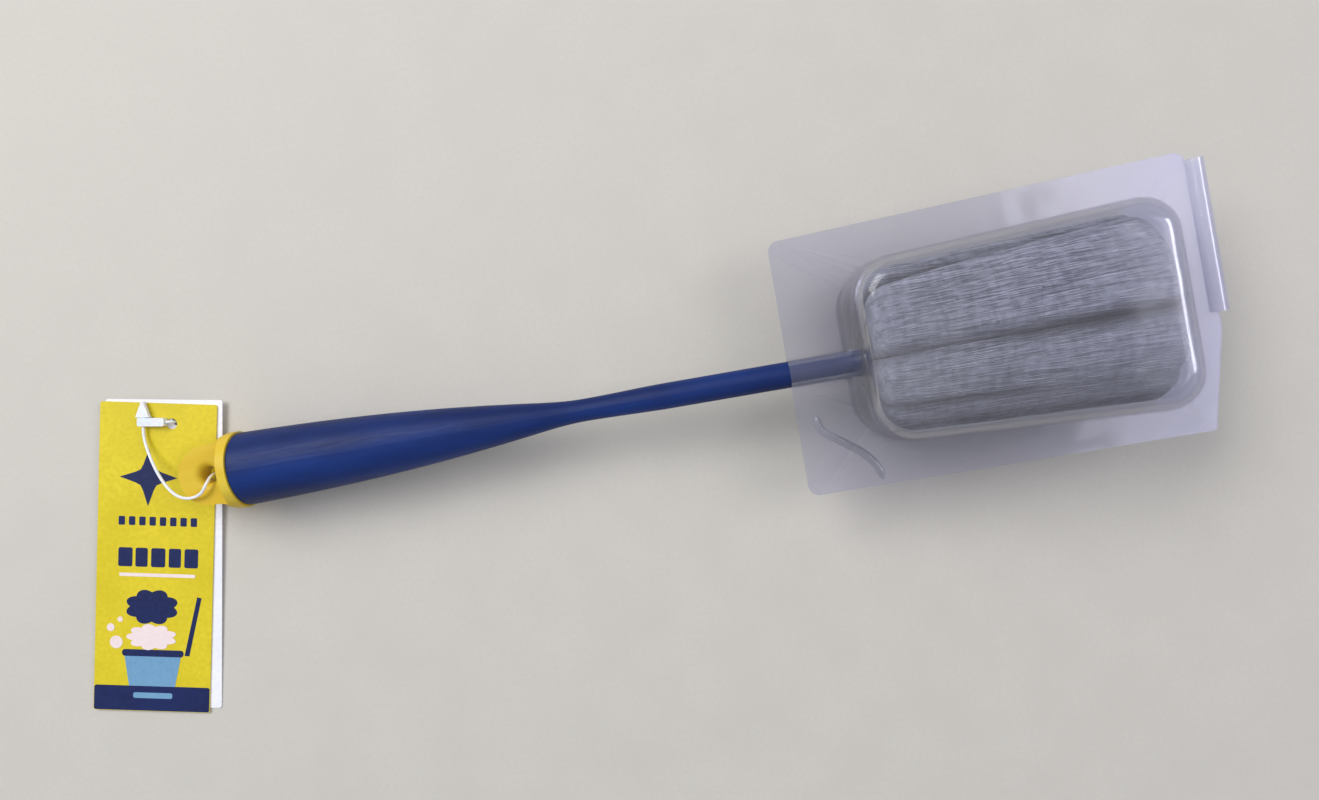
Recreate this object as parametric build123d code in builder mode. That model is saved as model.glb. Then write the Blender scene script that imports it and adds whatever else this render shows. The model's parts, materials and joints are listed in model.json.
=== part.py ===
from build123d import *
import os
from math import cos, pi, radians, sin, tan

# Hand duster with a long tapered handle, a compressed fibre head in its clear hinged
# cover, and two hang cards on a nylon loop. Millimetres. The duster lies on a flat
# surface (Z = 0): its butt collar and the flat bottom of the cover both touch it.
# The origin is on that surface, below the middle of the cover's dome. +X runs from the
# hanging eye to the head, +Y to the left of that, +Z up. A "station" is the distance
# along the duster's axis from the open face of the handle's butt.

# ---- handle ----
tilt = 3.4                    # rise of the duster's axis towards the head, degrees
butt_radius = 14.4
grip_points = [(30, 13.5), (62, 11.7), (92, 9.0), (118, 5.9)]   # station, radius
waist_station = 137
waist_radius = 4.35
neck_station = 170            # the taper is over, the plain shaft begins
shaft_radius = 5.0
shaft_end = 290
grip_wall = 2.2
cavity_points = [(50, 10.3), (90, 6.9)]                          # station, radius
cavity_end = 112
cavity_tip_radius = 2.2
butt_round = 0.8

# ---- end cap with the hanging eye ----
collar_radius = 15.0
collar_thick = 3.4
spigot_length = 13
spigot_wall = 2.0
spigot_clearance = 0.05
eye_station = -12.5
eye_boss_radius = 11.7
eye_thick = 10.5
eye_hole_radius = 3.3
eye_flare = 2.7
flare_narrow_station = -8.0   # where the concave flare is down to the eye's thickness

# ---- head ----
core_start = 243
core_end = 338
core_radius = 7.5
core_flange_radius = 10
core_flange_thick = 1.5
bore_clearance = 0.05
pin_radius = 1.0
pin_station = 268
pin_clearance = 0.05
tip_radius = 8.7
tip_thick = 3
tip_spigot = 10
soft_gap = 0.3
sleeve_thick = 1.0
lobe_count = 8
head_start = 245
head_end = 349.5
head_near_half_width = 30.8
head_far_half_width = 35.4
head_side_shift = 2.5         # the fibres and their cover lie this far left of the shaft
head_cover_gap = 0.7
head_end_round = 5.0

# ---- clear cover ----
film = 0.5
dome_near = 239
dome_far = 353.5
dome_near_half_width = 34
dome_far_half_width = 39.5
dome_near_corner = 17
dome_far_corner = 15
dome_draft = 4
dome_bottom_round = 9
flange_near = 216
flange_far = 372
flange_left_near = 50.5
flange_left_far = 56.5
flange_right = 47
flange_cut_side = 6           # the right far corner runs back from this far out
flange_cut_station = 367
flange_corner = 4
channel_clearance = 0.45
fold_radius = 3.5
fold_right = -4
fold_left = 53

# ---- hang cards ----
card_width = 47.5
card_length = 126.5
back_card_thick = 0.4
front_card_thick = 0.45
card_gap = 0.15
card_hole_radius = 2.2
card_hole_from_top = 8.3
card_hole_off_middle = 5.5
card_corner = 1.0
card_rise = 1.0               # the cards rest on the loop's strand, degrees
back_card_lean = 10.4
front_card_lean = 11.7
back_card_shift = (1.0, 0.8)  # each card's hole is off the strand by this much
front_card_shift = (-1.0, -0.8)
hole_station = -31.1          # plan place of the punched holes, from the butt face
hole_side = 23.8

# ---- nylon loop ----
strand_radius = 0.6
socket_length = 10.8
socket_width = 3.4
socket_thick = 2.6
socket_lean = 9.8
socket_from_hole = 2.8
socket_hole_from_end = 1.9
socket_hole_radius = 0.95
arrow_length = 6.4
arrow_base = 5.6
arrow_tip = 0.9
arrow_thick = 1.8
shank_clearance = 0.15
lock_gap = 0.2
# The strand's route: along X and Y from the middle of the eye, and above the surface.
# It leaves the socket, goes down through both cards, under them, up through the eye
# and over its rim, and back above the cards to the socket's cross hole.
strand_route = [
    (-21.28, 24.27, 4.59),
    (-18.62, 23.8, 4.59),
    (-18.62, 23.8, 0.7),
    (-14.1, 18.4, 0.65),
    (-7.6, 9.2, 0.65),
    (0.5, 1.3, 0.75),
    (0.95, 0.5, 7.5),
    (0.7, 0.2, 13.5),
    (1.05, -0.2, 19.3),
    (0.4, -3.0, 22.6),
    (-2.9, -7.2, 22.0),
    (-9.6, -8.0, 20.5),
    (-17.6, -4.6, 15.6),
    (-25.6, 4.3, 9.2),
    (-30.0, 14.6, 5.6),
    (-31.03, 20.6, 4.62),
    (-30.46, 23.94, 4.62),
]

os.makedirs("parts", exist_ok=True)

rise = (cos(radians(tilt)), 0, sin(radians(tilt)))
upright = (-sin(radians(tilt)), 0, cos(radians(tilt)))
middle_station = (dome_near + dome_far) / 2
butt_height = collar_radius * cos(radians(tilt)) + collar_thick * sin(radians(tilt))
butt = (-middle_station * cos(radians(tilt)), 0, butt_height)
level = Plane(origin=butt, x_dir=rise, z_dir=upright)      # local: station, left, up
side = Plane(origin=butt, x_dir=rise, z_dir=(0, -1, 0))    # local: station, up


def across(station):
    """The plane square to the axis at a station; local x is to the left."""
    return Plane(origin=level.from_local_coords((station, 0, 0)), x_dir=(0, 1, 0), z_dir=rise)


def axis_height(station):
    return butt_height + station * sin(radians(tilt))


def write(piece, name):
    piece.label = name
    export_step(piece, f"parts/{name}.step")


def rod(start, end, radius):
    """A round bar on the duster's axis, to add to or cut from the part being built."""
    with BuildPart(mode=Mode.PRIVATE) as bar:
        with BuildSketch(across(start)):
            Circle(radius)
        extrude(amount=end - start)
    return bar.part


def cross_rod(station, length, radius):
    """A round bar through the axis from side to side."""
    middle = Plane(origin=level.from_local_coords((station, 0, 0)), x_dir=rise, z_dir=(0, 1, 0))
    with BuildPart(mode=Mode.PRIVATE) as bar:
        with BuildSketch(middle):
            Circle(radius)
        extrude(amount=length / 2, both=True)
    return bar.part


# ---- handle: one hollow moulding, open at the butt ----
pin_hole = cross_rod(pin_station, 2 * core_flange_radius, pin_radius + pin_clearance)

with BuildPart() as handle:
    with BuildSketch(side):
        with BuildLine():
            grip = Spline(
                (0, butt_radius), *grip_points, (waist_station, waist_radius),
                tangents=[(1, -0.02), (1, 0)],
            )
            neck = Spline(grip @ 1, (neck_station, shaft_radius), tangents=[(1, 0), (1, 0)])
            Polyline(neck @ 1, (shaft_end, shaft_radius), (shaft_end, 0), (0, 0), grip @ 0)
        make_face()
    revolve(axis=Axis(level.origin, level.x_dir))
    fillet(handle.edges().group_by(Axis(level.origin, level.x_dir))[0], butt_round)
    with BuildSketch(side):
        with BuildLine():
            hollow = Spline(
                (-1, butt_radius - grip_wall), *cavity_points, (cavity_end, cavity_tip_radius)
            )
            Polyline(hollow @ 1, (cavity_end, 0), (-1, 0), hollow @ 0)
        make_face()
    revolve(axis=Axis(level.origin, level.x_dir), mode=Mode.SUBTRACT)
    add(rod(-1, spigot_length + 1, butt_radius - grip_wall), mode=Mode.SUBTRACT)
    add(pin_hole, mode=Mode.SUBTRACT)
write(handle.part, "handle")

# ---- end cap: collar, spigot in the butt, and a flared flat eye ----
eye_end = eye_station - eye_boss_radius
half_eye = eye_thick / 2
with BuildPart() as end_cap:
    with BuildSketch(level):
        with Locations((eye_station, 0)):
            Circle(eye_boss_radius)
        with BuildLine():
            left_flare = Bezier(
                (-collar_thick, collar_radius),
                (-collar_thick - 1.5, eye_boss_radius),
                (eye_station, eye_boss_radius),
            )
            Line(left_flare @ 1, (eye_station, -eye_boss_radius))
            right_flare = Bezier(
                (eye_station, -eye_boss_radius),
                (-collar_thick - 1.5, -eye_boss_radius),
                (-collar_thick, -collar_radius),
            )
            Line(right_flare @ 1, left_flare @ 0)
        make_face()
    extrude(amount=collar_radius, both=True)
    with BuildSketch(side):
        with BuildLine():
            top_flare = Bezier(
                (-collar_thick, collar_radius),
                (-collar_thick - 0.6, half_eye),
                (flare_narrow_station, half_eye),
            )
            Polyline(
                top_flare @ 1, (eye_end - 1, half_eye), (eye_end - 1, -half_eye),
                (flare_narrow_station, -half_eye),
            )
            bottom_flare = Bezier(
                (flare_narrow_station, -half_eye),
                (-collar_thick - 0.6, -half_eye),
                (-collar_thick, -collar_radius),
            )
            Line(bottom_flare @ 1, top_flare @ 0)
        make_face()
    extrude(amount=collar_radius + 1, both=True, mode=Mode.INTERSECT)
    add(rod(eye_end - 1, -collar_thick, collar_radius), mode=Mode.INTERSECT)
    add(rod(-collar_thick, 0, collar_radius))
    add(rod(0, spigot_length, butt_radius - grip_wall - spigot_clearance))
    add(
        rod(2, spigot_length + 1, butt_radius - grip_wall - spigot_clearance - spigot_wall),
        mode=Mode.SUBTRACT,
    )
    with BuildSketch(level):
        with Locations((eye_station, 0)):
            Circle(eye_hole_radius)
    extrude(amount=collar_radius, both=True, mode=Mode.SUBTRACT)
    rims = end_cap.edges().filter_by(
        lambda e: e.geom_type == GeomType.CIRCLE and abs(e.radius - eye_hole_radius) < 0.01
    )
    fillet(rims, eye_flare)
write(end_cap.part, "end_cap")

# ---- head: core tube on the shaft, cross pin, tip, backing sleeve ----
with BuildPart() as head_core:
    add(rod(core_start, core_end, core_radius))
    add(rod(core_start, core_start + core_flange_thick, core_flange_radius))
    add(rod(core_start - 1, core_end + 1, shaft_radius + bore_clearance), mode=Mode.SUBTRACT)
    add(pin_hole, mode=Mode.SUBTRACT)
write(head_core.part, "head_core")

write(cross_rod(pin_station, 2 * core_radius, pin_radius), "head_lock_pin")

with BuildPart() as core_tip:
    add(rod(core_end, core_end + tip_thick, tip_radius))
    add(rod(core_end - tip_spigot, core_end, shaft_radius))
write(core_tip.part, "core_tip")

sleeve_start = core_start + core_flange_thick + soft_gap
sleeve_radius = core_radius + soft_gap + sleeve_thick
with BuildPart() as backing_sleeve:
    add(rod(sleeve_start, core_end - soft_gap, sleeve_radius))
    add(rod(sleeve_start - 1, core_end, core_radius + soft_gap), mode=Mode.SUBTRACT)
write(backing_sleeve.part, "backing_sleeve")


# ---- fibre lobes: sectors of one soft block that fills the cover ----
def head_half_width(station):
    share = (station - head_start) / (head_end - head_start)
    return head_near_half_width + share * (head_far_half_width - head_near_half_width)


def head_half_height(station):
    return axis_height(station) / cos(radians(tilt)) - film - head_cover_gap


half_sector = 180 / lobe_count
reach = 3 * head_far_half_width
wedge_tip = soft_gap / 2 / sin(radians(half_sector))       # leaves the gap beside each lobe
for number in range(lobe_count):
    middle_angle = (2 * number + 1) * half_sector
    tip = Vector(wedge_tip, 0).rotate(Axis.Z, middle_angle)
    wedge = [tip] + [
        tip + Vector(reach, 0).rotate(Axis.Z, middle_angle + turn)
        for turn in (-half_sector, half_sector)
    ]
    with BuildPart() as lobe:
        for station, inset in (
            (head_start, head_end_round),
            (head_start + head_end_round, 0),
            (head_end - head_end_round, 0),
            (head_end, head_end_round),
        ):
            with BuildSketch(across(station)):
                with Locations((head_side_shift, 0)):
                    Ellipse(head_half_width(station) - inset, head_half_height(station) - inset)
                Polygon(*wedge, align=None, mode=Mode.INTERSECT)
                Circle(sleeve_radius + soft_gap, mode=Mode.SUBTRACT)
        loft(ruled=True)
    write(lobe.part, f"fibre_lobe_{number + 1}")


# ---- clear cover: two thin halves, joined by a fold at the far end ----
def dome_block(inset):
    """The lower half of the dome, filled, shrunk by a wall all round."""
    down = Plane(origin=butt, x_dir=rise, z_dir=[-part for part in upright])
    near, far = dome_near + inset, dome_far - inset
    near_half, far_half = dome_near_half_width - inset, dome_far_half_width - inset
    with BuildPart(mode=Mode.PRIVATE) as block:
        with BuildSketch(down) as footprint:
            with Locations((0, -head_side_shift)):
                Polygon(
                    (near, -near_half), (far, -far_half), (far, far_half), (near, near_half),
                    align=None,
                )
            fillet(footprint.vertices().group_by(Axis.X)[0], dome_near_corner - inset)
            fillet(footprint.vertices().group_by(Axis.X)[-1], dome_far_corner - inset)
        extrude(amount=2 * axis_height(dome_far), taper=dome_draft)
        split(bisect_by=Plane.XY.offset(inset), keep=Keep.TOP)
        fillet(block.edges().group_by(Axis.Z)[0], dome_bottom_round - inset)
    return block.part


dome_outside = dome_block(0)
dome_inside = dome_block(film)
channel_radius = shaft_radius + channel_clearance
channel_end = dome_near + dome_near_corner
fold_station = flange_far + fold_radius - film
fold_run = Plane(
    origin=level.from_local_coords((fold_station, fold_right, 0)), x_dir=rise, z_dir=(0, 1, 0)
)

with BuildPart() as cover_base:
    with BuildSketch(level) as outline:
        Polygon(
            (flange_near, -flange_right),
            (flange_cut_station, -flange_right),
            (fold_station, fold_right - flange_cut_side),
            (fold_station, fold_right),
            (flange_far, fold_right),
            (flange_far, flange_left_far),
            (flange_near, flange_left_near),
            align=None,
        )
        outer_corners = outline.vertices().group_by(Axis.X)[0] + outline.vertices().group_by(Axis.Y)[-1]
        fillet(outer_corners, flange_corner)
    extrude(amount=-film)
    add(dome_outside)
    add(rod(flange_near, channel_end, channel_radius + film))
    add(dome_inside, mode=Mode.SUBTRACT)
    add(rod(flange_near - 1, channel_end + 1, channel_radius), mode=Mode.SUBTRACT)
    with BuildSketch(fold_run):
        Circle(fold_radius)
        Circle(fold_radius - film, mode=Mode.SUBTRACT)
    extrude(amount=fold_left - fold_right)
    split(bisect_by=level, keep=Keep.BOTTOM)
write(cover_base.part, "cover_base")

with BuildPart() as cover_lid:
    mirror(cover_base.part, about=level)
write(cover_lid.part, "cover_lid")


# ---- hang cards: they lie on the loop's strand, their lower edge on the surface ----
below_hole = (card_length - card_hole_from_top) * cos(radians(back_card_lean)) + (
    card_width / 2 - card_hole_off_middle
) * sin(radians(back_card_lean))
card_hole = (butt[0] + hole_station, hole_side, below_hole * sin(radians(card_rise)))
card_square = (0, -sin(radians(card_rise)), cos(radians(card_rise)))


def card_plane(lean, height):
    """A plane along the cards, above the punched hole; local y runs up the card."""
    width_run = (
        cos(radians(lean)),
        -sin(radians(lean)) * cos(radians(card_rise)),
        -sin(radians(lean)) * sin(radians(card_rise)),
    )
    return Plane(origin=card_hole, x_dir=width_run, z_dir=card_square).offset(height)


def card(lean, height, thick, shift):
    middle = (shift[0] - card_hole_off_middle, shift[1] + card_hole_from_top - card_length / 2)
    with BuildPart(mode=Mode.PRIVATE) as sheet:
        with BuildSketch(card_plane(lean, height)):
            with Locations(middle):
                RectangleRounded(card_width, card_length, card_corner)
            with Locations(shift):
                Circle(card_hole_radius, mode=Mode.SUBTRACT)
        extrude(amount=thick)
    return sheet.part


front_card_height = back_card_thick + card_gap
write(card(back_card_lean, 0, back_card_thick, back_card_shift), "tag_back_card")
write(card(front_card_lean, front_card_height, front_card_thick, front_card_shift), "tag_front_card")

# ---- nylon loop: one strand, locked where its barbed end passes through the socket ----
lock_height = front_card_height + front_card_thick + lock_gap
lock_plane = card_plane(socket_lean, lock_height)
lock_middle = card_plane(socket_lean, lock_height + socket_thick / 2)
cross_x = -(socket_from_hole + socket_length - socket_hole_from_end)
socket_side = Plane(
    origin=lock_middle.from_local_coords((cross_x, 0, 0)), x_dir=lock_middle.x_dir,
    z_dir=lock_middle.y_dir,
)

with BuildPart() as loop_socket:
    with BuildSketch(lock_plane):
        with Locations((-socket_from_hole - socket_length / 2, 0)):
            RectangleRounded(socket_length, socket_width, socket_width / 5)
    extrude(amount=socket_thick)
    with BuildSketch(socket_side):
        Circle(socket_hole_radius)
    extrude(amount=socket_width, both=True, mode=Mode.SUBTRACT)
write(loop_socket.part, "loop_socket")

shank_radius = socket_hole_radius - shank_clearance
with BuildPart() as loop_arrow:
    with BuildSketch(socket_side.offset(-socket_width / 2)):
        Circle(shank_radius)
    extrude(amount=socket_width + 2 * lock_gap)
    with BuildSketch(lock_middle):
        with Locations((cross_x, socket_width / 2 + lock_gap)):
            Polygon(
                (-arrow_base / 2, 0), (arrow_base / 2, 0),
                (arrow_tip / 2, arrow_length), (-arrow_tip / 2, arrow_length), align=None,
            )
    extrude(amount=arrow_thick / 2, both=True)
write(loop_arrow.part, "loop_arrow")

eye_x = level.from_local_coords((eye_station, 0, 0)).X
route = [Vector(eye_x + x, y, z) for x, y, z in strand_route]
radii = []
for before, corner, after in zip(route, route[1:], route[2:]):
    turn = (corner - before).get_angle(after - corner)
    shorter = min((corner - before).length, (after - corner).length)
    radii.append(0.45 * shorter / tan(radians(turn / 2)))
print("strand radii", [round(radius, 1) for radius in radii])

with BuildPart() as tag_loop:
    with BuildLine() as strand_line:
        FilletPolyline(*route, radius=radii)
    strand_start = Plane(origin=route[0], z_dir=route[1] - route[0])
    with BuildSketch(strand_start):
        Circle(strand_radius)
    sweep()
strand_length = sum(edge.length for edge in strand_line.edges())
print("strand length", round(strand_length, 1))
print("strand volume", round(tag_loop.part.volume, 2), "of", round(pi * strand_radius**2 * strand_length, 2))
write(tag_loop.part, "tag_loop")
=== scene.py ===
import json
import math

import bmesh
import bpy
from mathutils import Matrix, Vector, noise


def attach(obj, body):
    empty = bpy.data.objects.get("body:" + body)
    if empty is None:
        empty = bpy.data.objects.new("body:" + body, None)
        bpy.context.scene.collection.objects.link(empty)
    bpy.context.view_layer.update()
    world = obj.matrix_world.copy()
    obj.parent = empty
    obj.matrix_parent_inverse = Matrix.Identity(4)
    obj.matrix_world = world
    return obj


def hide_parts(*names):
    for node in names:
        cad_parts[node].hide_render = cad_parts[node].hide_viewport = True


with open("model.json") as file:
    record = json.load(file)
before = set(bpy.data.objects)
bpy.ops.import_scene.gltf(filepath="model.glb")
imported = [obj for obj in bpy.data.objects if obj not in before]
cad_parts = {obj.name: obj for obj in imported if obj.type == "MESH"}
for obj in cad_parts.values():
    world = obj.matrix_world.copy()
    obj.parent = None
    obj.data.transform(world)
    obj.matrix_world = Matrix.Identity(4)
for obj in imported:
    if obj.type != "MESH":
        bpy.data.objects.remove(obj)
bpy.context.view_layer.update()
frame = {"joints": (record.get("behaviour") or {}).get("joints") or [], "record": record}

# Hand duster with a tapered moulded handle, a fibre head in its clear hinged cover, and
# two hang cards on a nylon loop. Sizes below are in millimetres and are turned to metres
# by the place functions. A "station" is the distance along the duster's axis from the
# open face of the handle's butt, as in the part's own source.

MM = 0.001

mounts = {mount["name"]: mount for mount in frame["record"]["mounts"]}
eye_middle = Vector(mounts["hanging_eye"]["pos_m"])
upright = Vector(mounts["hanging_eye"]["axis"])
along = Vector((upright.z, 0.0, -upright.x))
leftward = Vector((0.0, 1.0, 0.0))
EYE_STATION = -12.5
butt = eye_middle - along * (EYE_STATION * MM)


def on_axis(station, left=0.0, up=0.0):
    """The place at a station, so far left of the axis and so far above it."""
    return butt + (along * station + leftward * left + upright * up) * MM


# ---- camera: straight above the middle of the handle, turned a little ----
CAMERA_PLACE = (-0.1302, -0.0011, 0.360)   # metres
CAMERA_TURN = -9.8            # degrees
CAMERA_NEAREST = 0.01         # metres
LENS = 23.876                 # millimetres on the default sensor of 36

camera = bpy.data.objects.new("camera", bpy.data.cameras.new("camera"))
bpy.context.scene.collection.objects.link(camera)
camera.location = CAMERA_PLACE
camera.rotation_euler = (0, 0, math.radians(CAMERA_TURN))
camera.data.lens = LENS
camera.data.clip_start = CAMERA_NEAREST
bpy.context.scene.camera = camera


# ---- node and mesh helpers ----
def linear(code, alpha=1.0):
    """A colour written as an sRGB hex value, turned to linear light."""
    parts = []
    for start in (1, 3, 5):
        value = int(code[start:start + 2], 16) / 255
        parts.append(value / 12.92 if value <= 0.04045 else ((value + 0.055) / 1.055) ** 2.4)
    return (*parts, alpha)


def add(tree, kind, inputs=None, **settings):
    """Adds one node; an input takes a value, or a socket to link from."""
    node = tree.nodes.new(kind)
    for name, value in settings.items():
        setattr(node, name, value)
    for key, value in (inputs or {}).items():
        if isinstance(value, bpy.types.NodeSocket):
            tree.links.new(value, node.inputs[key])
        else:
            node.inputs[key].default_value = value
    return node


def new_material(name):
    material = bpy.data.materials.new(name)
    material.use_nodes = True
    material.node_tree.nodes.clear()
    return material, material.node_tree


def new_piece(name, vertices, faces, material, smooth=True):
    """A mesh object whose vertices are in the row's frame, in metres."""
    mesh = bpy.data.meshes.new(name)
    mesh.from_pydata([tuple(v) for v in vertices], [], faces)
    mesh.materials.append(material)
    if smooth:
        mesh.shade_smooth()
    mesh.update()
    piece = bpy.data.objects.new(name, mesh)
    bpy.context.scene.collection.objects.link(piece)
    return piece


def finish_node(node, material):
    """Gives a CAD node that stays as it is its finish."""
    for place in bpy.data.objects[node].material_slots:
        place.material = material


# ---- finishes ----
# A pattern's cells are counted per metre along X, Y and Z: 1000 makes one cell a millimetre.
STRAIGHT = (0.0, 0.0, 0.0)    # a pattern that isn't turned


def polypropylene(name, dark, light, roughness):
    """Injection-moulded polypropylene: a waxy, half-gloss skin whose tone shifts a little
    where the melt flowed, with fine handling scratches that break up its highlight."""
    material, tree = new_material(name)
    place = add(tree, "ShaderNodeTexCoord").outputs["Object"]
    flow, scratches, skin = (
        add(tree, "ShaderNodeTexNoise", {
            "Vector": add(tree, "ShaderNodeMapping", {
                "Vector": place, "Scale": cells, "Rotation": turn,
            }).outputs[0],
            "Scale": 1.0, "Detail": detail,
        }).outputs[0]
        for cells, turn, detail in (
            ((14, 70, 70), STRAIGHT, 3.0),
            ((90, 1500, 1500), (0.1, 0.3, 0.25), 2.0),
            ((700, 700, 700), STRAIGHT, 2.0),
        )
    )
    shift = add(tree, "ShaderNodeMapRange", {"Value": flow, "From Min": 0.35, "From Max": 0.65})
    colour = add(tree, "ShaderNodeMix", {
        0: shift.outputs[0], 6: linear(dark), 7: linear(light),
    }, data_type="RGBA")
    height = add(tree, "ShaderNodeMath", {0: scratches, 1: skin}, operation="ADD")
    bump = add(tree, "ShaderNodeBump", {
        "Height": height.outputs[0], "Strength": 0.25, "Distance": 0.00006,
    })
    wear = add(tree, "ShaderNodeMapRange", {
        "Value": scratches, "From Min": 0.3, "From Max": 0.75,
        "To Min": roughness, "To Max": roughness + 0.15,
    })
    shader = add(tree, "ShaderNodeBsdfPrincipled", {
        "Base Color": colour.outputs[2], "Roughness": wear.outputs[0], "IOR": 1.49,
        "Specular IOR Level": 0.26, "Normal": bump.outputs[0],
    })
    add(tree, "ShaderNodeOutputMaterial", {"Surface": shader.outputs[0]})
    return material


def combed_fibre():
    """Combed polyester fibre: matt, soft-edged strands with a pale bloom at grazing angles.
    Each strand's own tone is stored with it; the ground between them is painted darker, a painted
    shade between the strands. Painted shade is also mixed into the grooves, the fold, the bundles'
    inner sides and the side away from the window. Real fibre is some 0.02 mm thick, so its streaks
    are drawn a millimetre wide to show."""
    material, tree = new_material("combed_polyester_fibre")
    place = add(tree, "ShaderNodeTexCoord").outputs["Object"]
    streaks, crimp = (
        add(tree, "ShaderNodeTexNoise", {
            "Vector": add(tree, "ShaderNodeMapping", {
                "Vector": place, "Scale": cells,
            }).outputs[0],
            "Scale": 1.0, "Detail": detail,
        }).outputs[0]
        for cells, detail in (((25, 900, 900), 4.0), ((420, 160, 160), 2.0))
    )
    shade = add(tree, "ShaderNodeAttribute", attribute_name="strand_shade")
    depth = add(tree, "ShaderNodeAttribute", attribute_name="groove_depth")
    level = shade.outputs["Fac"]
    for pattern, low, high, swing in ((streaks, 0.3, 0.7, 0.18), (crimp, 0.35, 0.65, 0.14)):
        part = add(tree, "ShaderNodeMapRange", {
            "Value": pattern, "From Min": low, "From Max": high, "To Min": -swing, "To Max": swing,
        })
        total = add(tree, "ShaderNodeMath", {0: level, 1: part.outputs[0]}, operation="ADD")
        level = total.outputs[0]
    held = add(tree, "ShaderNodeMapRange", {"Value": level})
    tone = add(tree, "ShaderNodeMix", {
        0: held.outputs[0], 6: linear("#74767F"), 7: linear("#C9CAD1"),
    }, data_type="RGBA")
    # painted shade: the fibre is mixed towards near black in the grooves, the fold, the bundles'
    # inner sides and on the side away from the window
    dark = add(tree, "ShaderNodeMapRange", {
        "Value": depth.outputs["Fac"], "From Min": 0.08, "From Max": 0.75,
    })
    colour = add(tree, "ShaderNodeMix", {
        0: dark.outputs[0], 6: tone.outputs[2], 7: linear("#111219"),
    }, data_type="RGBA")
    bump = add(tree, "ShaderNodeBump", {"Height": streaks, "Strength": 0.5, "Distance": 0.0003})
    shader = add(tree, "ShaderNodeBsdfPrincipled", {
        "Base Color": colour.outputs[2], "Roughness": 0.78, "IOR": 1.5, "Sheen Weight": 0.3,
        "Sheen Roughness": 0.4, "Sheen Tint": linear("#C8C8DC"), "Normal": bump.outputs[0],
    })
    add(tree, "ShaderNodeOutputMaterial", {"Surface": shader.outputs[0]})
    return material


def clear_film(name, haze_low, haze_high):
    """Thermoformed PET film: clear with a faint haze from forming, and a hard gloss whose
    highlights run along every bend because the sheet is never quite flat. Towards the far end its
    haze is painted thicker and more lavender, a painted highlight that stands for the whitish glare
    on that end."""
    material, tree = new_material(name)
    place = add(tree, "ShaderNodeTexCoord").outputs["Object"]
    cloud, waves = (
        add(tree, "ShaderNodeTexNoise", {
            "Vector": add(tree, "ShaderNodeMapping", {
                "Vector": place, "Scale": cells,
            }).outputs[0],
            "Scale": 1.0, "Detail": detail,
        }).outputs[0]
        for cells, detail in (((18, 26, 26), 3.0), ((45, 60, 60), 1.0))
    )
    bump = add(tree, "ShaderNodeBump", {"Height": waves, "Strength": 0.6, "Distance": 0.0012})
    # painted highlight: towards the far end the haze is made paler, more lavender and thicker,
    # standing in for the glare there
    spot = add(tree, "ShaderNodeSeparateXYZ", {0: place})
    far = add(tree, "ShaderNodeMapRange", {
        "Value": spot.outputs["X"], "From Min": -0.02, "From Max": 0.075,
    })
    tint = add(tree, "ShaderNodeMix", {
        0: far.outputs[0], 6: linear("#DCDCDC"), 7: linear("#E6E6FA"),
    }, data_type="RGBA")
    haze = add(tree, "ShaderNodeBsdfPrincipled", {
        "Base Color": tint.outputs[2], "Roughness": 0.55, "IOR": 1.4,
    })
    patchy = add(tree, "ShaderNodeMapRange", {
        "Value": cloud, "From Min": 0.3, "From Max": 0.7, "To Min": haze_low, "To Max": haze_high,
    })
    far_painted_glare = add(tree, "ShaderNodeMapRange", {
        "Value": far.outputs[0], "From Min": 0.5, "From Max": 1.0, "To Min": 0.0, "To Max": 0.17,
    })
    thick = add(tree, "ShaderNodeMath", {
        0: patchy.outputs[0], 1: far_painted_glare.outputs[0],
    }, operation="ADD")
    gloss = add(tree, "ShaderNodeBsdfGlossy", {
        "Color": linear("#FFFFFF"), "Roughness": 0.12, "Normal": bump.outputs[0],
    })
    through = add(tree, "ShaderNodeBsdfTransparent", {"Color": linear("#F7F7FC")})
    body = add(tree, "ShaderNodeMixShader", {
        0: thick.outputs[0], 1: through.outputs[0], 2: haze.outputs[0],
    })
    mirror = add(tree, "ShaderNodeFresnel", {"IOR": 1.57, "Normal": bump.outputs[0]})
    shine = add(tree, "ShaderNodeMapRange", {"Value": mirror.outputs[0], "To Max": 0.4})
    film = add(tree, "ShaderNodeMixShader", {
        0: shine.outputs[0], 1: body.outputs[0], 2: gloss.outputs[0],
    })
    add(tree, "ShaderNodeOutputMaterial", {"Surface": film.outputs[0]})
    return material


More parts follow.
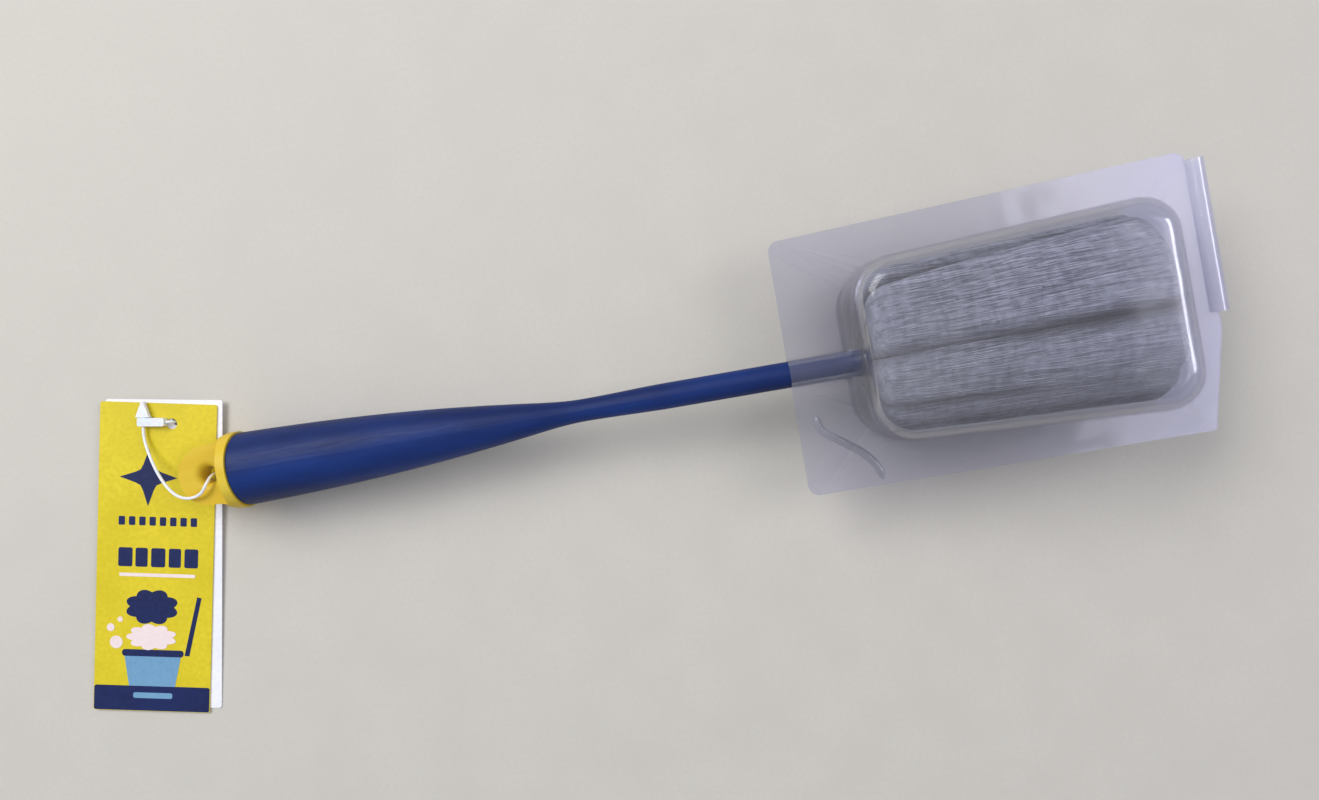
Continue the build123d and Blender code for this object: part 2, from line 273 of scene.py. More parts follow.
def board(name, code, fleck, roughness):
    """Folding-box board: a smooth face with the faintest fibre fleck and a soft, uneven
    gloss; the coated face is glossier than the plain one."""
    material, tree = new_material(name)
    place = add(tree, "ShaderNodeTexCoord").outputs["Object"]
    flecks, clouds = (
        add(tree, "ShaderNodeTexNoise", {
            "Vector": add(tree, "ShaderNodeMapping", {
                "Vector": place, "Scale": (cells, cells, cells),
            }).outputs[0],
            "Scale": 1.0, "Detail": detail,
        }).outputs[0]
        for cells, detail in ((600, 3.0), (40, 2.0))
    )
    worn = add(tree, "ShaderNodeMath", {0: flecks, 1: clouds}, operation="MULTIPLY")
    share = add(tree, "ShaderNodeMapRange", {
        "Value": worn.outputs[0], "From Min": 0.15, "From Max": 0.4,
    })
    colour = add(tree, "ShaderNodeMix", {
        0: share.outputs[0], 6: linear(fleck), 7: linear(code),
    }, data_type="RGBA")
    bump = add(tree, "ShaderNodeBump", {"Height": flecks, "Strength": 0.15, "Distance": 0.0001})
    uneven = add(tree, "ShaderNodeMapRange", {
        "Value": clouds, "From Min": 0.3, "From Max": 0.7,
        "To Min": roughness - 0.06, "To Max": roughness + 0.08,
    })
    shader = add(tree, "ShaderNodeBsdfPrincipled", {
        "Base Color": colour.outputs[2], "IOR": 1.5, "Specular IOR Level": 0.3,
        "Roughness": uneven.outputs[0], "Normal": bump.outputs[0],
    })
    add(tree, "ShaderNodeOutputMaterial", {"Surface": shader.outputs[0]})
    return material


def natural_nylon():
    """Natural moulded nylon: milky and slightly see-through, so its edges glow."""
    material, tree = new_material("natural_nylon")
    place = add(tree, "ShaderNodeTexCoord")
    spread = add(tree, "ShaderNodeMapping", {
        "Vector": place.outputs["Object"], "Scale": (300, 300, 300),
    })
    milk = add(tree, "ShaderNodeTexNoise", {
        "Vector": spread.outputs[0], "Scale": 1.0, "Detail": 2.0,
    })
    colour = add(tree, "ShaderNodeMix", {
        0: milk.outputs[0], 6: linear("#DDE2EC"), 7: linear("#F6F8FC"),
    }, data_type="RGBA")
    shader = add(tree, "ShaderNodeBsdfPrincipled", {
        "Base Color": colour.outputs[2], "Roughness": 0.3, "IOR": 1.53,
        "Subsurface Weight": 0.25, "Subsurface Scale": 0.002,
    })
    add(tree, "ShaderNodeOutputMaterial", {"Surface": shader.outputs[0]})
    return material


def drawn_steel():
    """Drawn steel wire: grey metal with fine lines along its length."""
    material, tree = new_material("drawn_steel")
    place = add(tree, "ShaderNodeTexCoord")
    spread = add(tree, "ShaderNodeMapping", {
        "Vector": place.outputs["Object"], "Scale": (3000, 60, 3000),
    })
    lines = add(tree, "ShaderNodeTexNoise", {
        "Vector": spread.outputs[0], "Scale": 1.0, "Detail": 2.0,
    })
    drawn = add(tree, "ShaderNodeMapRange", {
        "Value": lines.outputs[0], "From Min": 0.3, "From Max": 0.7, "To Min": 0.28, "To Max": 0.42,
    })
    shader = add(tree, "ShaderNodeBsdfPrincipled", {
        "Base Color": linear("#B4B4B8"), "Metallic": 1.0, "Roughness": drawn.outputs[0],
    })
    add(tree, "ShaderNodeOutputMaterial", {"Surface": shader.outputs[0]})
    return material


def needled_felt():
    """Needled felt tape: dark, dense and hairy, with needle marks about a millimetre apart."""
    material, tree = new_material("needled_felt")
    place = add(tree, "ShaderNodeTexCoord")
    spread = add(tree, "ShaderNodeMapping", {
        "Vector": place.outputs["Object"], "Scale": (1100, 1100, 1100),
    })
    hair = add(tree, "ShaderNodeTexNoise", {
        "Vector": spread.outputs[0], "Scale": 1.0, "Detail": 4.0,
    })
    colour = add(tree, "ShaderNodeMix", {
        0: hair.outputs[0], 6: linear("#3A3A44"), 7: linear("#6A6A78"),
    }, data_type="RGBA")
    bump = add(tree, "ShaderNodeBump", {
        "Height": hair.outputs[0], "Strength": 0.7, "Distance": 0.0003,
    })
    shader = add(tree, "ShaderNodeBsdfPrincipled", {
        "Base Color": colour.outputs[2], "Roughness": 0.9, "Sheen Weight": 0.2,
        "Normal": bump.outputs[0],
    })
    add(tree, "ShaderNodeOutputMaterial", {"Surface": shader.outputs[0]})
    return material


blue_polypropylene = polypropylene("moulded_polypropylene_blue", "#0B2156", "#123276", 0.44)
yellow_polypropylene = polypropylene("moulded_polypropylene_yellow", "#D8B52B", "#E8CC45", 0.36)
dark_polypropylene = polypropylene("moulded_polypropylene_dark", "#1B1D24", "#24262E", 0.45)
fibre = combed_fibre()
cover_film = clear_film("thermoformed_pet_film", 0.035, 0.085)
yellow_board = board("coated_board_yellow", "#E6D22C", "#D8C424", 0.4)
white_board = board("plain_board_white", "#FAFAFF", "#EFF0F9", 0.5)
nylon = natural_nylon()
# offset ink on the coated card: thin, flat colour with the card's own soft gloss
navy_ink = board("offset_ink_navy", "#172250", "#1E2B5C", 0.36)
sky_ink = board("offset_ink_sky", "#6C9CC0", "#78A6C8", 0.36)
pale_ink = board("offset_ink_pale", "#F1DCDC", "#F6E6E4", 0.36)


# ---- pieces whose CAD shape is right as it is ----
finish_node("handle", blue_polypropylene)
finish_node("end_cap", yellow_polypropylene)
finish_node("head_core", dark_polypropylene)
finish_node("core_tip", dark_polypropylene)
finish_node("head_lock_pin", drawn_steel())
finish_node("backing_sleeve", needled_felt())
finish_node("tag_back_card", white_board)
finish_node("tag_front_card", yellow_board)
finish_node("loop_socket", nylon)
finish_node("loop_arrow", nylon)


# ---- fibre head: eight bundles of combed fibre, pressed together in the cover ----
HEAD_START, HEAD_END = 245.0, 349.5        # stations
HALF_WIDTH = (30.8, 35.4)                  # near and far
SIDE_SHIFT = 2.5
FLOOR_ROOM = 1.2                           # the film and the room under the head
END_ROUND = 7.0
BUNDLES = 8
BUNDLE_ANGLE = 45
BUNDLE_GAP = 0.3
CORE_GAP = 9.2                             # radius left for the sleeve on the shaft
CORE_ROOM = 0.3
ARC_STEPS, RINGS, CORE_STEPS = 26, 64, 3   # a bundle's outer faces, lengthwise and inner faces
END_CROWDING = 0.48                        # rings lie closer together at the rounded ends
GROOVE_DEPTH, GROOVE_WIDTH = 4.4, 5.2
GROOVE_FALL = 2.2                          # how soon a groove's side rises
GROOVE_CHANGE = (0.65, 0.5)                # its share of the full depth, and how that wanders
SEAM_DEPTH = (0.7, 0.25, 0.6, 0.7, 0.8, 0.6, 0.6, 0.6)        # at each 45 degrees, near end
SEAM_FAR_DEPTH = (0.7, 0.15, 1.25, 0.6, 0.8, 0.6, 0.6, 0.6)   # the same, far end
FOLD = (34.0, 15.0)                        # a fold across the first bundle: near and far, degrees
FOLD_BEND = 0.6
FOLD_WIDTH = 3.6
FOLD_DEPTH, FOLD_FADE = 1.05, 0.35         # its depth, and how much of it is gone at the far end
# painted shade: the fibre on the side away from the window is painted darker, more so at the far
# end
SHADE_FROM, SHADE_TO = 104.0, 152.0        # the side that lies away from the window, degrees
SHADE, SHADE_FAR_MORE = 0.38, 0.2
SHADE_END = 1.2                            # in half turns: the shade stays on that side
STRAND_ROOM = 0.35                         # the skin is this much lower, for the strands on it
LUMP, SMALL_LUMP = 0.45, 0.18
SPOKES = (0.72, 0.42)                      # shares of the radius along a bundle's flat sides
tilt = math.atan2(along.z, along.x)


def head_radius(station, angle):
    """How far the pressed head reaches from the axis, towards an angle from the left."""
    share = (station - HEAD_START) / (HEAD_END - HEAD_START)
    wide = HALF_WIDTH[0] + share * (HALF_WIDTH[1] - HALF_WIDTH[0])
    high = on_axis(station).z / MM / math.cos(tilt) - FLOOR_ROOM
    c, s = math.cos(angle), math.sin(angle)
    a = (c / wide) ** 2 + (s / high) ** 2
    b = -2 * c * SIDE_SHIFT / wide**2
    k = (SIDE_SHIFT / wide) ** 2 - 1
    return (-b + math.sqrt(b * b - 4 * a * k)) / (2 * a)


def end_inset(station):
    """How far the rounded ends draw in."""
    near = min(station - HEAD_START, HEAD_END - station)
    if near >= END_ROUND:
        return 0.0
    return END_ROUND - math.sqrt(max(0.0, END_ROUND**2 - (END_ROUND - near) ** 2))


def groove_at(number, first, last, angle, reach, share):
    """How deep the skin is pressed in, by the seams beside it and by the fold across it."""
    seam = (number if angle - first < last - angle else number + 1) % BUNDLES
    beside = min(angle - first, last - angle) * reach
    worn = SEAM_DEPTH[seam] * (1 - share) + SEAM_FAR_DEPTH[seam] * share
    by_seam = worn * math.exp(-((beside / GROOVE_WIDTH) ** 2) * GROOVE_FALL)
    fold = math.radians(FOLD[0] + (FOLD[1] - FOLD[0]) * share**FOLD_BEND)
    from_fold = (angle - fold) * reach / FOLD_WIDTH
    by_fold = (FOLD_DEPTH - FOLD_FADE * share) * math.exp(-from_fold ** 2 * GROOVE_FALL)
    return max(by_seam, by_fold)


def skin_section(number, first, last, station, share):
    """The outer skin at a station: (radius, angle, painted shade) from one side to the other. The
    painted shade is deepest in the grooves and the fold, and is also laid on the side away from the
    window.
    """
    section = []
    for step in range(ARC_STEPS + 1):
        angle = first + (last - first) * step / ARC_STEPS
        reach = head_radius(station, angle) - end_inset(station)
        depth = groove_at(number, first, last, angle, reach, share)
        wander = noise.noise(Vector((station * 0.02, number * 3.7, round(step / ARC_STEPS))))
        lump = noise.noise(Vector((station * 0.012, angle * 9.0 + number, 0.4)))
        small = noise.noise(Vector((station * 0.05, angle * 26.0 + number, 2.4)))
        widen = GROOVE_CHANGE[0] + GROOVE_CHANGE[1] * wander
        reach -= depth * GROOVE_DEPTH * widen + STRAND_ROOM + LUMP * lump + SMALL_LUMP * small
        gap = BUNDLE_GAP / 2 / max(reach, 1.0)
        held = min(max(angle, first + gap), last - gap)
        # painted shade on the side that lies away from the window, kept with the grooves' painted
        # shade
        away = (math.degrees(angle) - SHADE_FROM) / (SHADE_TO - SHADE_FROM)
        shaded = 0.0
        if angle < math.pi * SHADE_END:
            shaded = (SHADE + SHADE_FAR_MORE * share) * min(1.0, max(0.0, away))
        section.append((reach, held, max(depth * widen, shaded)))
    return section


def bundle(number):
    """One closed bundle: a sector whose edges roll over into grooves beside it."""
    first, last = (math.radians(BUNDLE_ANGLE * k) for k in (number, number + 1))
    inner = CORE_GAP + CORE_ROOM
    vertices, groove = [], []
    for ring in range(RINGS + 1):
        share = ring / RINGS
        share = share - END_CROWDING * math.sin(2 * math.pi * share) / (2 * math.pi)
        station = HEAD_START + share * (HEAD_END - HEAD_START)
        section = skin_section(number, first, last, station, share)
        starts, ends = section[0][0], section[-1][0]
        # the flat inner sides carry full painted shade, as in the shadow between the bundles
        for spoke in SPOKES:
            inset = BUNDLE_GAP / 2 / (spoke * ends)
            section.append((max(inner, spoke * ends), last - inset, 1.0))
        for step in range(CORE_STEPS + 1):
            angle = last - (last - first) * step / CORE_STEPS
            turn = BUNDLE_GAP / 2 / inner * (1 - 2 * step / CORE_STEPS)
            section.append((inner, angle - turn, 1.0))
        for spoke in reversed(SPOKES):
            inset = BUNDLE_GAP / 2 / (spoke * starts)
            section.append((max(inner, spoke * starts), first + inset, 1.0))
        for reach, angle, dark in section:
            vertices.append(on_axis(station, reach * math.cos(angle), reach * math.sin(angle)))
            groove.append(min(1.0, dark))
    count = len(section)
    faces = []
    for ring in range(RINGS):
        for k in range(count):
            a, b = ring * count + k, ring * count + (k + 1) % count
            faces.append((a, b, b + count, a + count))
    faces.append(tuple(reversed(range(count))))
    faces.append(tuple(RINGS * count + k for k in range(count)))
    piece = new_piece(f"fibre_bundle_{number + 1}", vertices, faces, fibre)
    painted_shades = piece.data.attributes.new("groove_depth", "FLOAT", "POINT")
    painted_shades.data.foreach_set("value", groove)
    return piece


bundles = [bundle(number) for number in range(BUNDLES)]


# ---- combed strands on the bundles ----
FLAT_END = 0.9                # a face that turns this far towards the axis is an end
NO_ROOTS = 0.8                # groove depth past which no strand is rooted
STRAY = 0.06                  # how far a strand wanders from the comb's direction
END_FADE = (15.0, 4.0)        # strands shorten between these distances from an end
END_LENGTH = 0.12             # the share of its length that a strand keeps there
# painted shade: the skin between the strands is given a darker tone
GROUND_PAINTED_SHADE = 0.32


def strand_tree():
    """Lays short combed strands along a bundle's skin, and passes the skin through."""
    tree = bpy.data.node_groups.new("combed_strands", "GeometryNodeTree")
    face = tree.interface
    face.new_socket("Geometry", in_out="INPUT", socket_type="NodeSocketGeometry")
    for label, kind in (
        ("Density", "NodeSocketFloat"), ("Length", "NodeSocketFloat"),
        ("Thickness", "NodeSocketFloat"), ("Seed", "NodeSocketInt"),
        ("Finish", "NodeSocketMaterial"),
    ):
        face.new_socket(label, in_out="INPUT", socket_type=kind)
    face.new_socket("Geometry", in_out="OUTPUT", socket_type="NodeSocketGeometry")
    given = add(tree, "NodeGroupInput").outputs
    axis = tuple(along)

    # roots: anywhere on the outer skin, but not on the flat ends or in the grooves
    normal = add(tree, "GeometryNodeInputNormal")
    facing = add(tree, "ShaderNodeVectorMath", {
        0: normal.outputs[0], 1: axis,
    }, operation="DOT_PRODUCT")
    size = add(tree, "ShaderNodeMath", {0: facing.outputs["Value"]}, operation="ABSOLUTE")
    beside = add(tree, "FunctionNodeCompare", {
        "A": size.outputs[0], "B": FLAT_END,
    }, operation="LESS_THAN")
    deep = add(tree, "GeometryNodeInputNamedAttribute", {
        "Name": "groove_depth",
    }, data_type="FLOAT")
    shallow = add(tree, "FunctionNodeCompare", {
        "A": deep.outputs[0], "B": NO_ROOTS,
    }, operation="LESS_THAN")
    chosen = add(tree, "FunctionNodeBooleanMath", {0: beside.outputs[0], 1: shallow.outputs[0]})
    roots = add(tree, "GeometryNodeDistributePointsOnFaces", {
        "Mesh": given["Geometry"], "Selection": chosen.outputs[0], "Density": given["Density"],
        "Seed": given["Seed"],
    })

    # direction: with the axis, bent into the skin where the ends round over
    out = roots.outputs["Normal"]
    lean = add(tree, "ShaderNodeVectorMath", {0: out, 1: axis}, operation="DOT_PRODUCT")
    part = add(tree, "ShaderNodeVectorMath", {
        0: out, "Scale": lean.outputs["Value"],
    }, operation="SCALE")
    flat = add(tree, "ShaderNodeVectorMath", {0: axis, 1: part.outputs[0]}, operation="SUBTRACT")
    stray = add(tree, "FunctionNodeRandomValue", {
        0: (-STRAY, -STRAY, -STRAY), 1: (STRAY, STRAY, STRAY), "Seed": given["Seed"],
    }, data_type="FLOAT_VECTOR")
    run = add(tree, "ShaderNodeVectorMath", {
        0: flat.outputs[0], 1: stray.outputs[0],
    }, operation="ADD")
    lie = add(tree, "FunctionNodeAlignRotationToVector", {"Vector": run.outputs[0]}, axis="X")
    turn = add(tree, "FunctionNodeAlignRotationToVector", {
        "Rotation": lie.outputs[0], "Vector": out,
    }, axis="Z", pivot_axis="X")

    # one strand: a three-sided thread, arched so that its tapered ends sink into the skin
    arch = add(tree, "GeometryNodeCurveQuadraticBezier", {
        "Resolution": 5, "Start": (-0.5, 0.0, -0.5), "Middle": (0.0, 0.0, 1.3),
        "End": (0.5, 0.0, -0.5),
    })
    stretch = add(tree, "ShaderNodeCombineXYZ", {
        "X": given["Length"], "Y": 1.0, "Z": given["Thickness"],
    })
    line = add(tree, "GeometryNodeTransform", {
        "Geometry": arch.outputs[0], "Scale": stretch.outputs[0],
    })
    spot = add(tree, "GeometryNodeSplineParameter")
    middle = add(tree, "ShaderNodeMath", {0: spot.outputs["Factor"], 1: 0.5}, operation="SUBTRACT")
    off = add(tree, "ShaderNodeMath", {0: middle.outputs[0]}, operation="ABSOLUTE")
    taper = add(tree, "ShaderNodeMapRange", {
        "Value": off.outputs[0], "From Min": 0.2, "From Max": 0.5, "To Min": 1.0, "To Max": 0.2,
    })
    thick = add(tree, "ShaderNodeMath", {
        0: taper.outputs[0], 1: given["Thickness"],
    }, operation="MULTIPLY")
    ring = add(tree, "GeometryNodeCurvePrimitiveCircle", {"Resolution": 3, "Radius": 0.5})
    thread = add(tree, "GeometryNodeCurveToMesh", {
        "Curve": line.outputs[0], "Profile Curve": ring.outputs[0], "Scale": thick.outputs[0],
        "Fill Caps": True,
    })
    longer = add(tree, "FunctionNodeRandomValue", {
        2: 0.55, 3: 1.0, "Seed": given["Seed"],
    }, data_type="FLOAT")

    # strands shorten towards the bundle's ends, so that none stands out past the rounding
    place = add(tree, "GeometryNodeInputPosition")
    reach = add(tree, "ShaderNodeVectorMath", {
        0: place.outputs[0], 1: axis,
    }, operation="DOT_PRODUCT")
    centre = on_axis((HEAD_START + HEAD_END) / 2).dot(along)
    gone = add(tree, "ShaderNodeMath", {
        0: reach.outputs["Value"], 1: centre,
    }, operation="SUBTRACT")
    far = add(tree, "ShaderNodeMath", {0: gone.outputs[0]}, operation="ABSOLUTE")
    half = (HEAD_END - HEAD_START) / 2 * MM
    room = add(tree, "ShaderNodeMapRange", {
        "Value": far.outputs[0], "From Min": half - END_FADE[0] * MM,
        "From Max": half - END_FADE[1] * MM, "To Min": 1.0, "To Max": END_LENGTH,
    })
    length = add(tree, "ShaderNodeMath", {
        0: longer.outputs[1], 1: room.outputs[0],
    }, operation="MULTIPLY")
    scale = add(tree, "ShaderNodeCombineXYZ", {
        "X": length.outputs[0], "Y": 1.0, "Z": room.outputs[0],
    })
    laid = add(tree, "GeometryNodeInstanceOnPoints", {
        "Points": roots.outputs[0], "Instance": thread.outputs[0], "Rotation": turn.outputs[0],
        "Scale": scale.outputs[0],
    })

    # each strand's own tone, and the ground's painted shade between the strands
    shade = add(tree, "FunctionNodeRandomValue", {2: 0.1, 3: 0.9, "Seed": 5}, data_type="FLOAT")
    shaded = add(tree, "GeometryNodeStoreNamedAttribute", {
        "Geometry": laid.outputs[0], "Name": "strand_shade", "Value": shade.outputs[1],
    }, data_type="FLOAT", domain="INSTANCE")
    real = add(tree, "GeometryNodeRealizeInstances", {"Geometry": shaded.outputs[0]})
    ground = add(tree, "GeometryNodeStoreNamedAttribute", {
        "Geometry": given["Geometry"], "Name": "strand_shade", "Value": GROUND_PAINTED_SHADE,
    }, data_type="FLOAT", domain="POINT")
    both = add(tree, "GeometryNodeJoinGeometry")
    for joined in (ground.outputs[0], real.outputs[0]):
        tree.links.new(joined, both.inputs[0])
    smooth = add(tree, "GeometryNodeSetShadeSmooth", {"Geometry": both.outputs[0]})
    finished = add(tree, "GeometryNodeSetMaterial", {
        "Geometry": smooth.outputs[0], "Material": given["Finish"],
    })
    add(tree, "NodeGroupOutput", {"Geometry": finished.outputs[0]})
    return tree


def grow(piece, tree, sizes):
    """Runs a tree on a piece and keeps the result as a plain mesh."""
    modifier = piece.modifiers.new(tree.name, "NODES")
    modifier.node_group = tree
    sockets = {
        item.name: item.identifier
        for item in tree.interface.items_tree if item.in_out == "INPUT"
    }
    for label, value in sizes.items():
        modifier[sockets[label]] = value
    seen = piece.evaluated_get(bpy.context.evaluated_depsgraph_get())
    mesh = bpy.data.meshes.new_from_object(seen)
    piece.modifiers.remove(modifier)
    piece.data = mesh
    mesh.name = piece.name


STRANDS_PER_SQUARE_METRE = 170000.0
STRAND_LENGTH, STRAND_THICKNESS = 0.021, 0.00055   # metres; thicker than fibre, so that it shows
FIRST_SEED = 20

strands = strand_tree()
for number, piece in enumerate(bundles):
    grow(piece, strands, {
        "Density": STRANDS_PER_SQUARE_METRE, "Length": STRAND_LENGTH,
        "Thickness": STRAND_THICKNESS, "Seed": FIRST_SEED + number, "Finish": fibre,
    })
    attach(piece, "duster")
    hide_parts(f"fibre_lobe_{number + 1}")


# ---- clear cover: two formed halves, with a curled stiffening ridge in one corner ----
finish_node("cover_base", cover_film)
finish_node("cover_lid", cover_film)

RIDGE_RUN = [                              # station, left of the axis
    (223.3, -16.9), (223.6, -20.5), (225.6, -24.0), (232.6, -29.2), (238.8, -34.2),
    (242.8, -39.6), (243.9, -44.8),
]
RIDGE_HALF_WIDTH, RIDGE_HEIGHT = 1.5, 1.2
RIDGE_WALL = 0.35
RIDGE_THINNEST = 0.05
RIDGE_STEPS, RUN_PARTS = 10, 8
RIDGE_TIP, TIP_SPOTS = 0.25, 6             # its size at an end, and how soon it is full size
FLANGE_TOP = 0.5                           # the lid's flange above the parting plane
FLANGE_CLEAR = 0.02


def smooth_run(points, parts):
    """Catmull-Rom points through a list of places in the plane."""
    ends = [points[0], *points, points[-1]]
    run = []
    for k in range(len(points) - 1):
        p0, p1, p2, p3 = (Vector(p) for p in ends[k:k + 4])
        for part in range(parts):
            t = part / parts
            run.append(0.5 * (2 * p1 + (p2 - p0) * t + (2 * p0 - 5 * p1 + 4 * p2 - p3) * t**2
                              + (3 * p1 - p0 - 3 * p2 + p3) * t**3))
    return [*run, Vector(points[-1])]


def stiffening_ridge():
    """A hollow arched ridge pressed up from the flange, closed at both ends."""
    run = smooth_run(RIDGE_RUN, RUN_PARTS)
    arch = [math.pi * step / RIDGE_STEPS for step in range(RIDGE_STEPS + 1)]
    vertices, faces = [], []
    for k, spot in enumerate(run):
        ahead = (run[min(k + 1, len(run) - 1)] - run[max(k - 1, 0)]).normalized()
        beside = Vector((-ahead.y, ahead.x))
        fade = min(1.0, RIDGE_TIP + min(k, len(run) - 1 - k) / TIP_SPOTS)
        for wall, angles in ((0.0, arch), (RIDGE_WALL, reversed(arch))):
            for angle in angles:
                out = math.cos(angle) * (RIDGE_HALF_WIDTH * fade - wall)
                rise = max(RIDGE_THINNEST, RIDGE_HEIGHT * fade - wall)
                up = FLANGE_TOP + FLANGE_CLEAR + math.sin(angle) * rise
                vertices.append(on_axis(spot.x + beside.x * out, spot.y + beside.y * out, up))
    count = 2 * (RIDGE_STEPS + 1)
    for k in range(len(run) - 1):
        for s in range(count):
            a, b = k * count + s, k * count + (s + 1) % count
            faces.append((a, b, b + count, a + count))
    last = (len(run) - 1) * count
    for s in range(RIDGE_STEPS):
        faces.append((s + 1, s, count - 1 - s, count - 2 - s))
        faces.append((last + s, last + s + 1, last + count - 2 - s, last + count - 1 - s))
    piece = new_piece("cover_stiffening_ridge", vertices, faces, cover_film)
    shell = bmesh.new()
    shell.from_mesh(piece.data)
    bmesh.ops.recalc_face_normals(shell, faces=shell.faces)
    shell.to_mesh(piece.data)
    shell.free()
    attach(piece, "cover_lid")


stiffening_ridge()


# ---- print on the front card: plain generic shapes in three inks ----
CARD_SIZE = (47.5, 126.5)
CARD_TOP = 1.0                             # the printed face, above the punched hole's plane
CARD_MIDDLE = (-1.0 - 5.5, -0.8 + 8.3 - CARD_SIZE[1] / 2)
CARD_LEAN = math.radians(11.7)
INK_THICK, INK_CLEAR = 0.04, 0.005
PRINT_EDGE = 0.15                          # the print stops this far inside the card's edge
ROUND_STEPS = 40
fan = next(joint for joint in frame["joints"] if joint["name"] == "tag_fan")
card_hole = Vector(fan["pos_m"])
card_square = Vector(fan["axis"])
card_right = Vector((
    math.cos(CARD_LEAN), -math.sin(CARD_LEAN) * card_square.z, math.sin(CARD_LEAN) * card_square.y,
))
card_up = card_square.cross(card_right)


def on_card(right, down, height):
    """A place so far right of the card's middle line and so far below its top edge."""
    across = CARD_MIDDLE[0] + right
    upward = CARD_MIDDLE[1] + CARD_SIZE[1] / 2 - down
    return card_hole + (card_right * across + card_up * upward + card_square * height) * MM


def printed(name, outlines, finish, layer=0):
    """Ink areas, each a thin closed slab on the card; outlines run anticlockwise."""
    vertices, faces = [], []
    low = CARD_TOP + layer * INK_THICK
    for outline in outlines:
        start, count = len(vertices), len(outline)
        for height in (low + INK_CLEAR, low + INK_THICK):
            vertices += [on_card(right, down, height) for right, down in outline]
        faces.append(tuple(reversed(range(start, start + count))))
        faces.append(tuple(range(start + count, start + 2 * count)))
        for k in range(count):
            following = (k + 1) % count
            faces.append((
                start + k, start + following, start + count + following, start + count + k,
            ))
    piece = new_piece(name, vertices, faces, finish, smooth=False)
    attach(piece, "tag_front")


def box_outline(left, top, right, bottom, corner):
    """A rectangle with rounded corners; down is positive, so it is listed from the bottom."""
    points = []
    for middle_x, middle_y, start in (
        (right - corner, bottom - corner, -90), (right - corner, top + corner, 0),
        (left + corner, top + corner, 90), (left + corner, bottom - corner, 180),
    ):
        for turn in range(0, 91, 15):
            angle = math.radians(start + turn)
            points.append((
                middle_x + corner * math.cos(angle), middle_y - corner * math.sin(angle),
            ))
    return points


def round_outline(right, down, radius):
    turn = 2 * math.pi / ROUND_STEPS
    return [
        (right + radius * math.cos(k * turn), down - radius * math.sin(k * turn))
        for k in range(ROUND_STEPS)
    ]


def sparkle(right, down, reach, waist, shoulder):
    """A plain four-pointed glint with hollow sides: each fourth point is a tip."""
    points = []
    for k in range(16):
        angle = math.pi / 8 * k
        size = (reach, shoulder, waist, shoulder)[k % 4]
        points.append((right + size * math.cos(angle), down - size * math.sin(angle)))
    return points


def puff(right, down, wide, high, bumps, depth):
    """A cloud outline: an ellipse whose edge swells and dips."""
    points = []
    for k in range(bumps * 10):
        angle = 2 * math.pi * k / (bumps * 10)
        swell = 1 - depth * (1 - abs(math.sin(bumps * angle / 2)))
        points.append((
            right + wide * swell * math.cos(angle), down - high * swell * math.sin(angle),
        ))
    return points


# places on the card: right of its middle line, and down from its top edge
half_card = CARD_SIZE[0] / 2 - PRINT_EDGE
band_top, band_bottom = 116.2, CARD_SIZE[1] - PRINT_EDGE
bars = [(-15.0, -9.2), (-8.0, -3.0), (-1.6, 4.2), (5.6, 10.6), (12.0, 17.6)]
small_bars = (-15.2, -11.0, -6.8, -2.6, 1.6, 5.8, 10.0, 14.2)
SMALL_BAR_WIDTH = 2.6
pail = [(-9.4, band_top), (9.4, band_top), (11.5, 104.0), (-11.5, 104.0)]
broom_stick = [(13.0, 103.4), (15.0, 103.4), (19.4, 79.4), (17.6, 79.0)]
printed("print_navy", [
    box_outline(-half_card, band_top, half_card, band_bottom, 0.9),
    sparkle(-3.4, 30.5, 11.8, 4.6, 5.75),
    *[box_outline(left, 59.4, right, 67.2, 0.8) for left, right in bars],
    broom_stick,
    box_outline(-12.6, 101.2, 12.6, 104.0, 1.2),
    puff(-0.8, 83.6, 11.0, 7.4, 8, 0.18),
    *[box_outline(left, 46.6, left + SMALL_BAR_WIDTH, 50.2, 0.5) for left in small_bars],
], navy_ink)
printed("print_sky", [pail, box_outline(-7.6, 118.9, 8.4, 121.2, 0.8)], sky_ink, layer=1)
printed("print_pale", [
    puff(-0.6, 96.0, 10.4, 5.4, 9, 0.2), round_outline(-15.0, 98.4, 2.6),
    round_outline(-17.4, 92.4, 1.6), round_outline(-13.6, 89.0, 1.1),
    box_outline(-14.4, 69.8, 16.6, 71.2, 0.5),
], pale_ink, layer=2)


# ---- the nylon loop's strand ----
LOOP_LENGTH, LOOP_DIAMETER = 0.112, 0.0012         # metres
STRAND_ROUTE = [                           # from the eye's middle, left, and above the floor
    (-21.28, 24.27, 4.59), (-18.62, 23.8, 4.59), (-18.62, 23.8, 0.7), (-14.1, 18.4, 0.65),
    (-7.6, 9.2, 0.65), (0.5, 1.3, 0.75), (0.95, 0.5, 7.5), (0.7, 0.2, 13.5),
    (1.05, -0.2, 19.3), (0.4, -3.0, 22.6), (-2.9, -7.2, 22.0), (-9.6, -8.0, 20.5),
    (-17.6, -4.6, 15.6), (-25.6, 4.3, 9.2), (-30.0, 14.6, 5.6), (-31.03, 20.6, 4.62),
    (-30.46, 23.94, 4.62),
]
strand_points = [Vector((eye_middle.x + x * MM, y * MM, z * MM)) for x, y, z in STRAND_ROUTE]
curve = bpy.data.curves.new("tag_loop_strand", "CURVE")
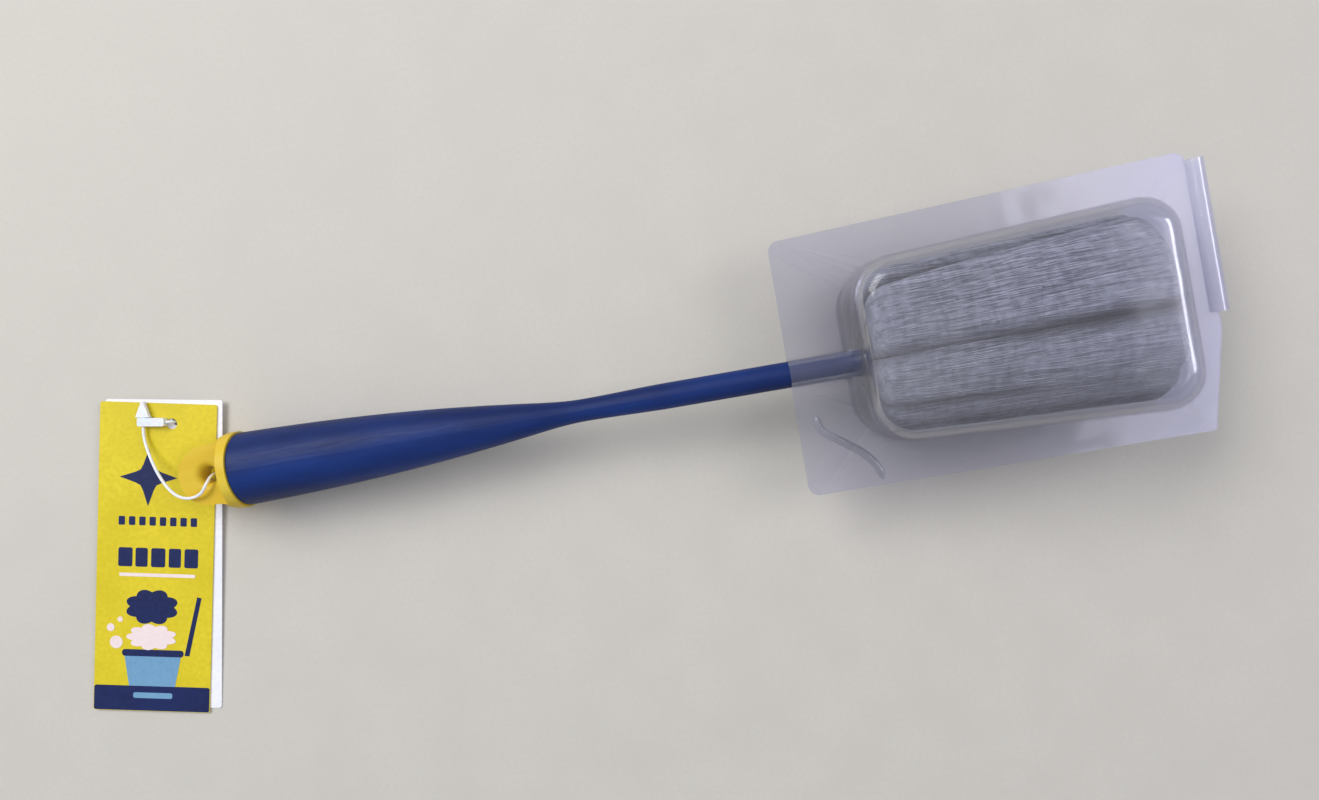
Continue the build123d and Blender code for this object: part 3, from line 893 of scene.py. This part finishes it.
curve.dimensions = "3D"
spline = curve.splines.new("NURBS")
spline.points.add(len(strand_points) - 1)
for point, place in zip(spline.points, strand_points):
    point.co = (*place, 1.0)
spline.order_u = 3
spline.use_endpoint_u = True
spline.resolution_u = 12
curve.bevel_depth = LOOP_DIAMETER / 2
curve.bevel_resolution = 5
curve.use_fill_caps = True
curve.materials.append(nylon)
strand = bpy.data.objects.new("tag_loop_strand", curve)
bpy.context.scene.collection.objects.link(strand)
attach(strand, "tag_back")
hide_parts("tag_loop")


# ---- floor and lights ----
FLOOR = 3.0                                # metres from the middle to each edge
SKY_STRENGTH = 0.45

floor_mesh = bpy.data.meshes.new("floor")
floor_mesh.from_pydata(
    [(-FLOOR, -FLOOR, 0), (FLOOR, -FLOOR, 0), (FLOOR, FLOOR, 0), (-FLOOR, FLOOR, 0)],
    [], [(0, 1, 2, 3)],
)
floor = bpy.data.objects.new("floor", floor_mesh)
bpy.context.scene.collection.objects.link(floor)
floor_mesh.materials.append(board("studio_floor", "#CFCBC2", "#CBC7BE", 0.7))
bpy.context.scene.view_settings.view_transform = "Standard"
world = bpy.data.worlds.new("studio")
bpy.context.scene.world = world
world.use_nodes = True
world.node_tree.nodes["Background"].inputs["Color"].default_value = linear("#E8ECF4")
world.node_tree.nodes["Background"].inputs["Strength"].default_value = SKY_STRENGTH


def lamp(name, place, target, size, watts, code):
    """A rectangular lamp at a place, turned to a target; all in metres."""
    light = bpy.data.lights.new(name, "AREA")
    light.shape = "RECTANGLE"
    light.size, light.size_y = size
    light.energy = watts
    light.color = linear(code)[:3]
    item = bpy.data.objects.new(name, light)
    bpy.context.scene.collection.objects.link(item)
    item.location = place
    item.rotation_euler = (Vector(target) - Vector(place)).to_track_quat("-Z", "Y").to_euler()


lamp("window", (-0.9, 0.8, 1.2), (-0.1, 0, 0), (1.2, 0.8), 19, "#FFFFFF")
lamp("ceiling", (0.98, 0.1, 1.2), (0.05, 0, 0), (0.7, 1.2), 8, "#F4F2FF")
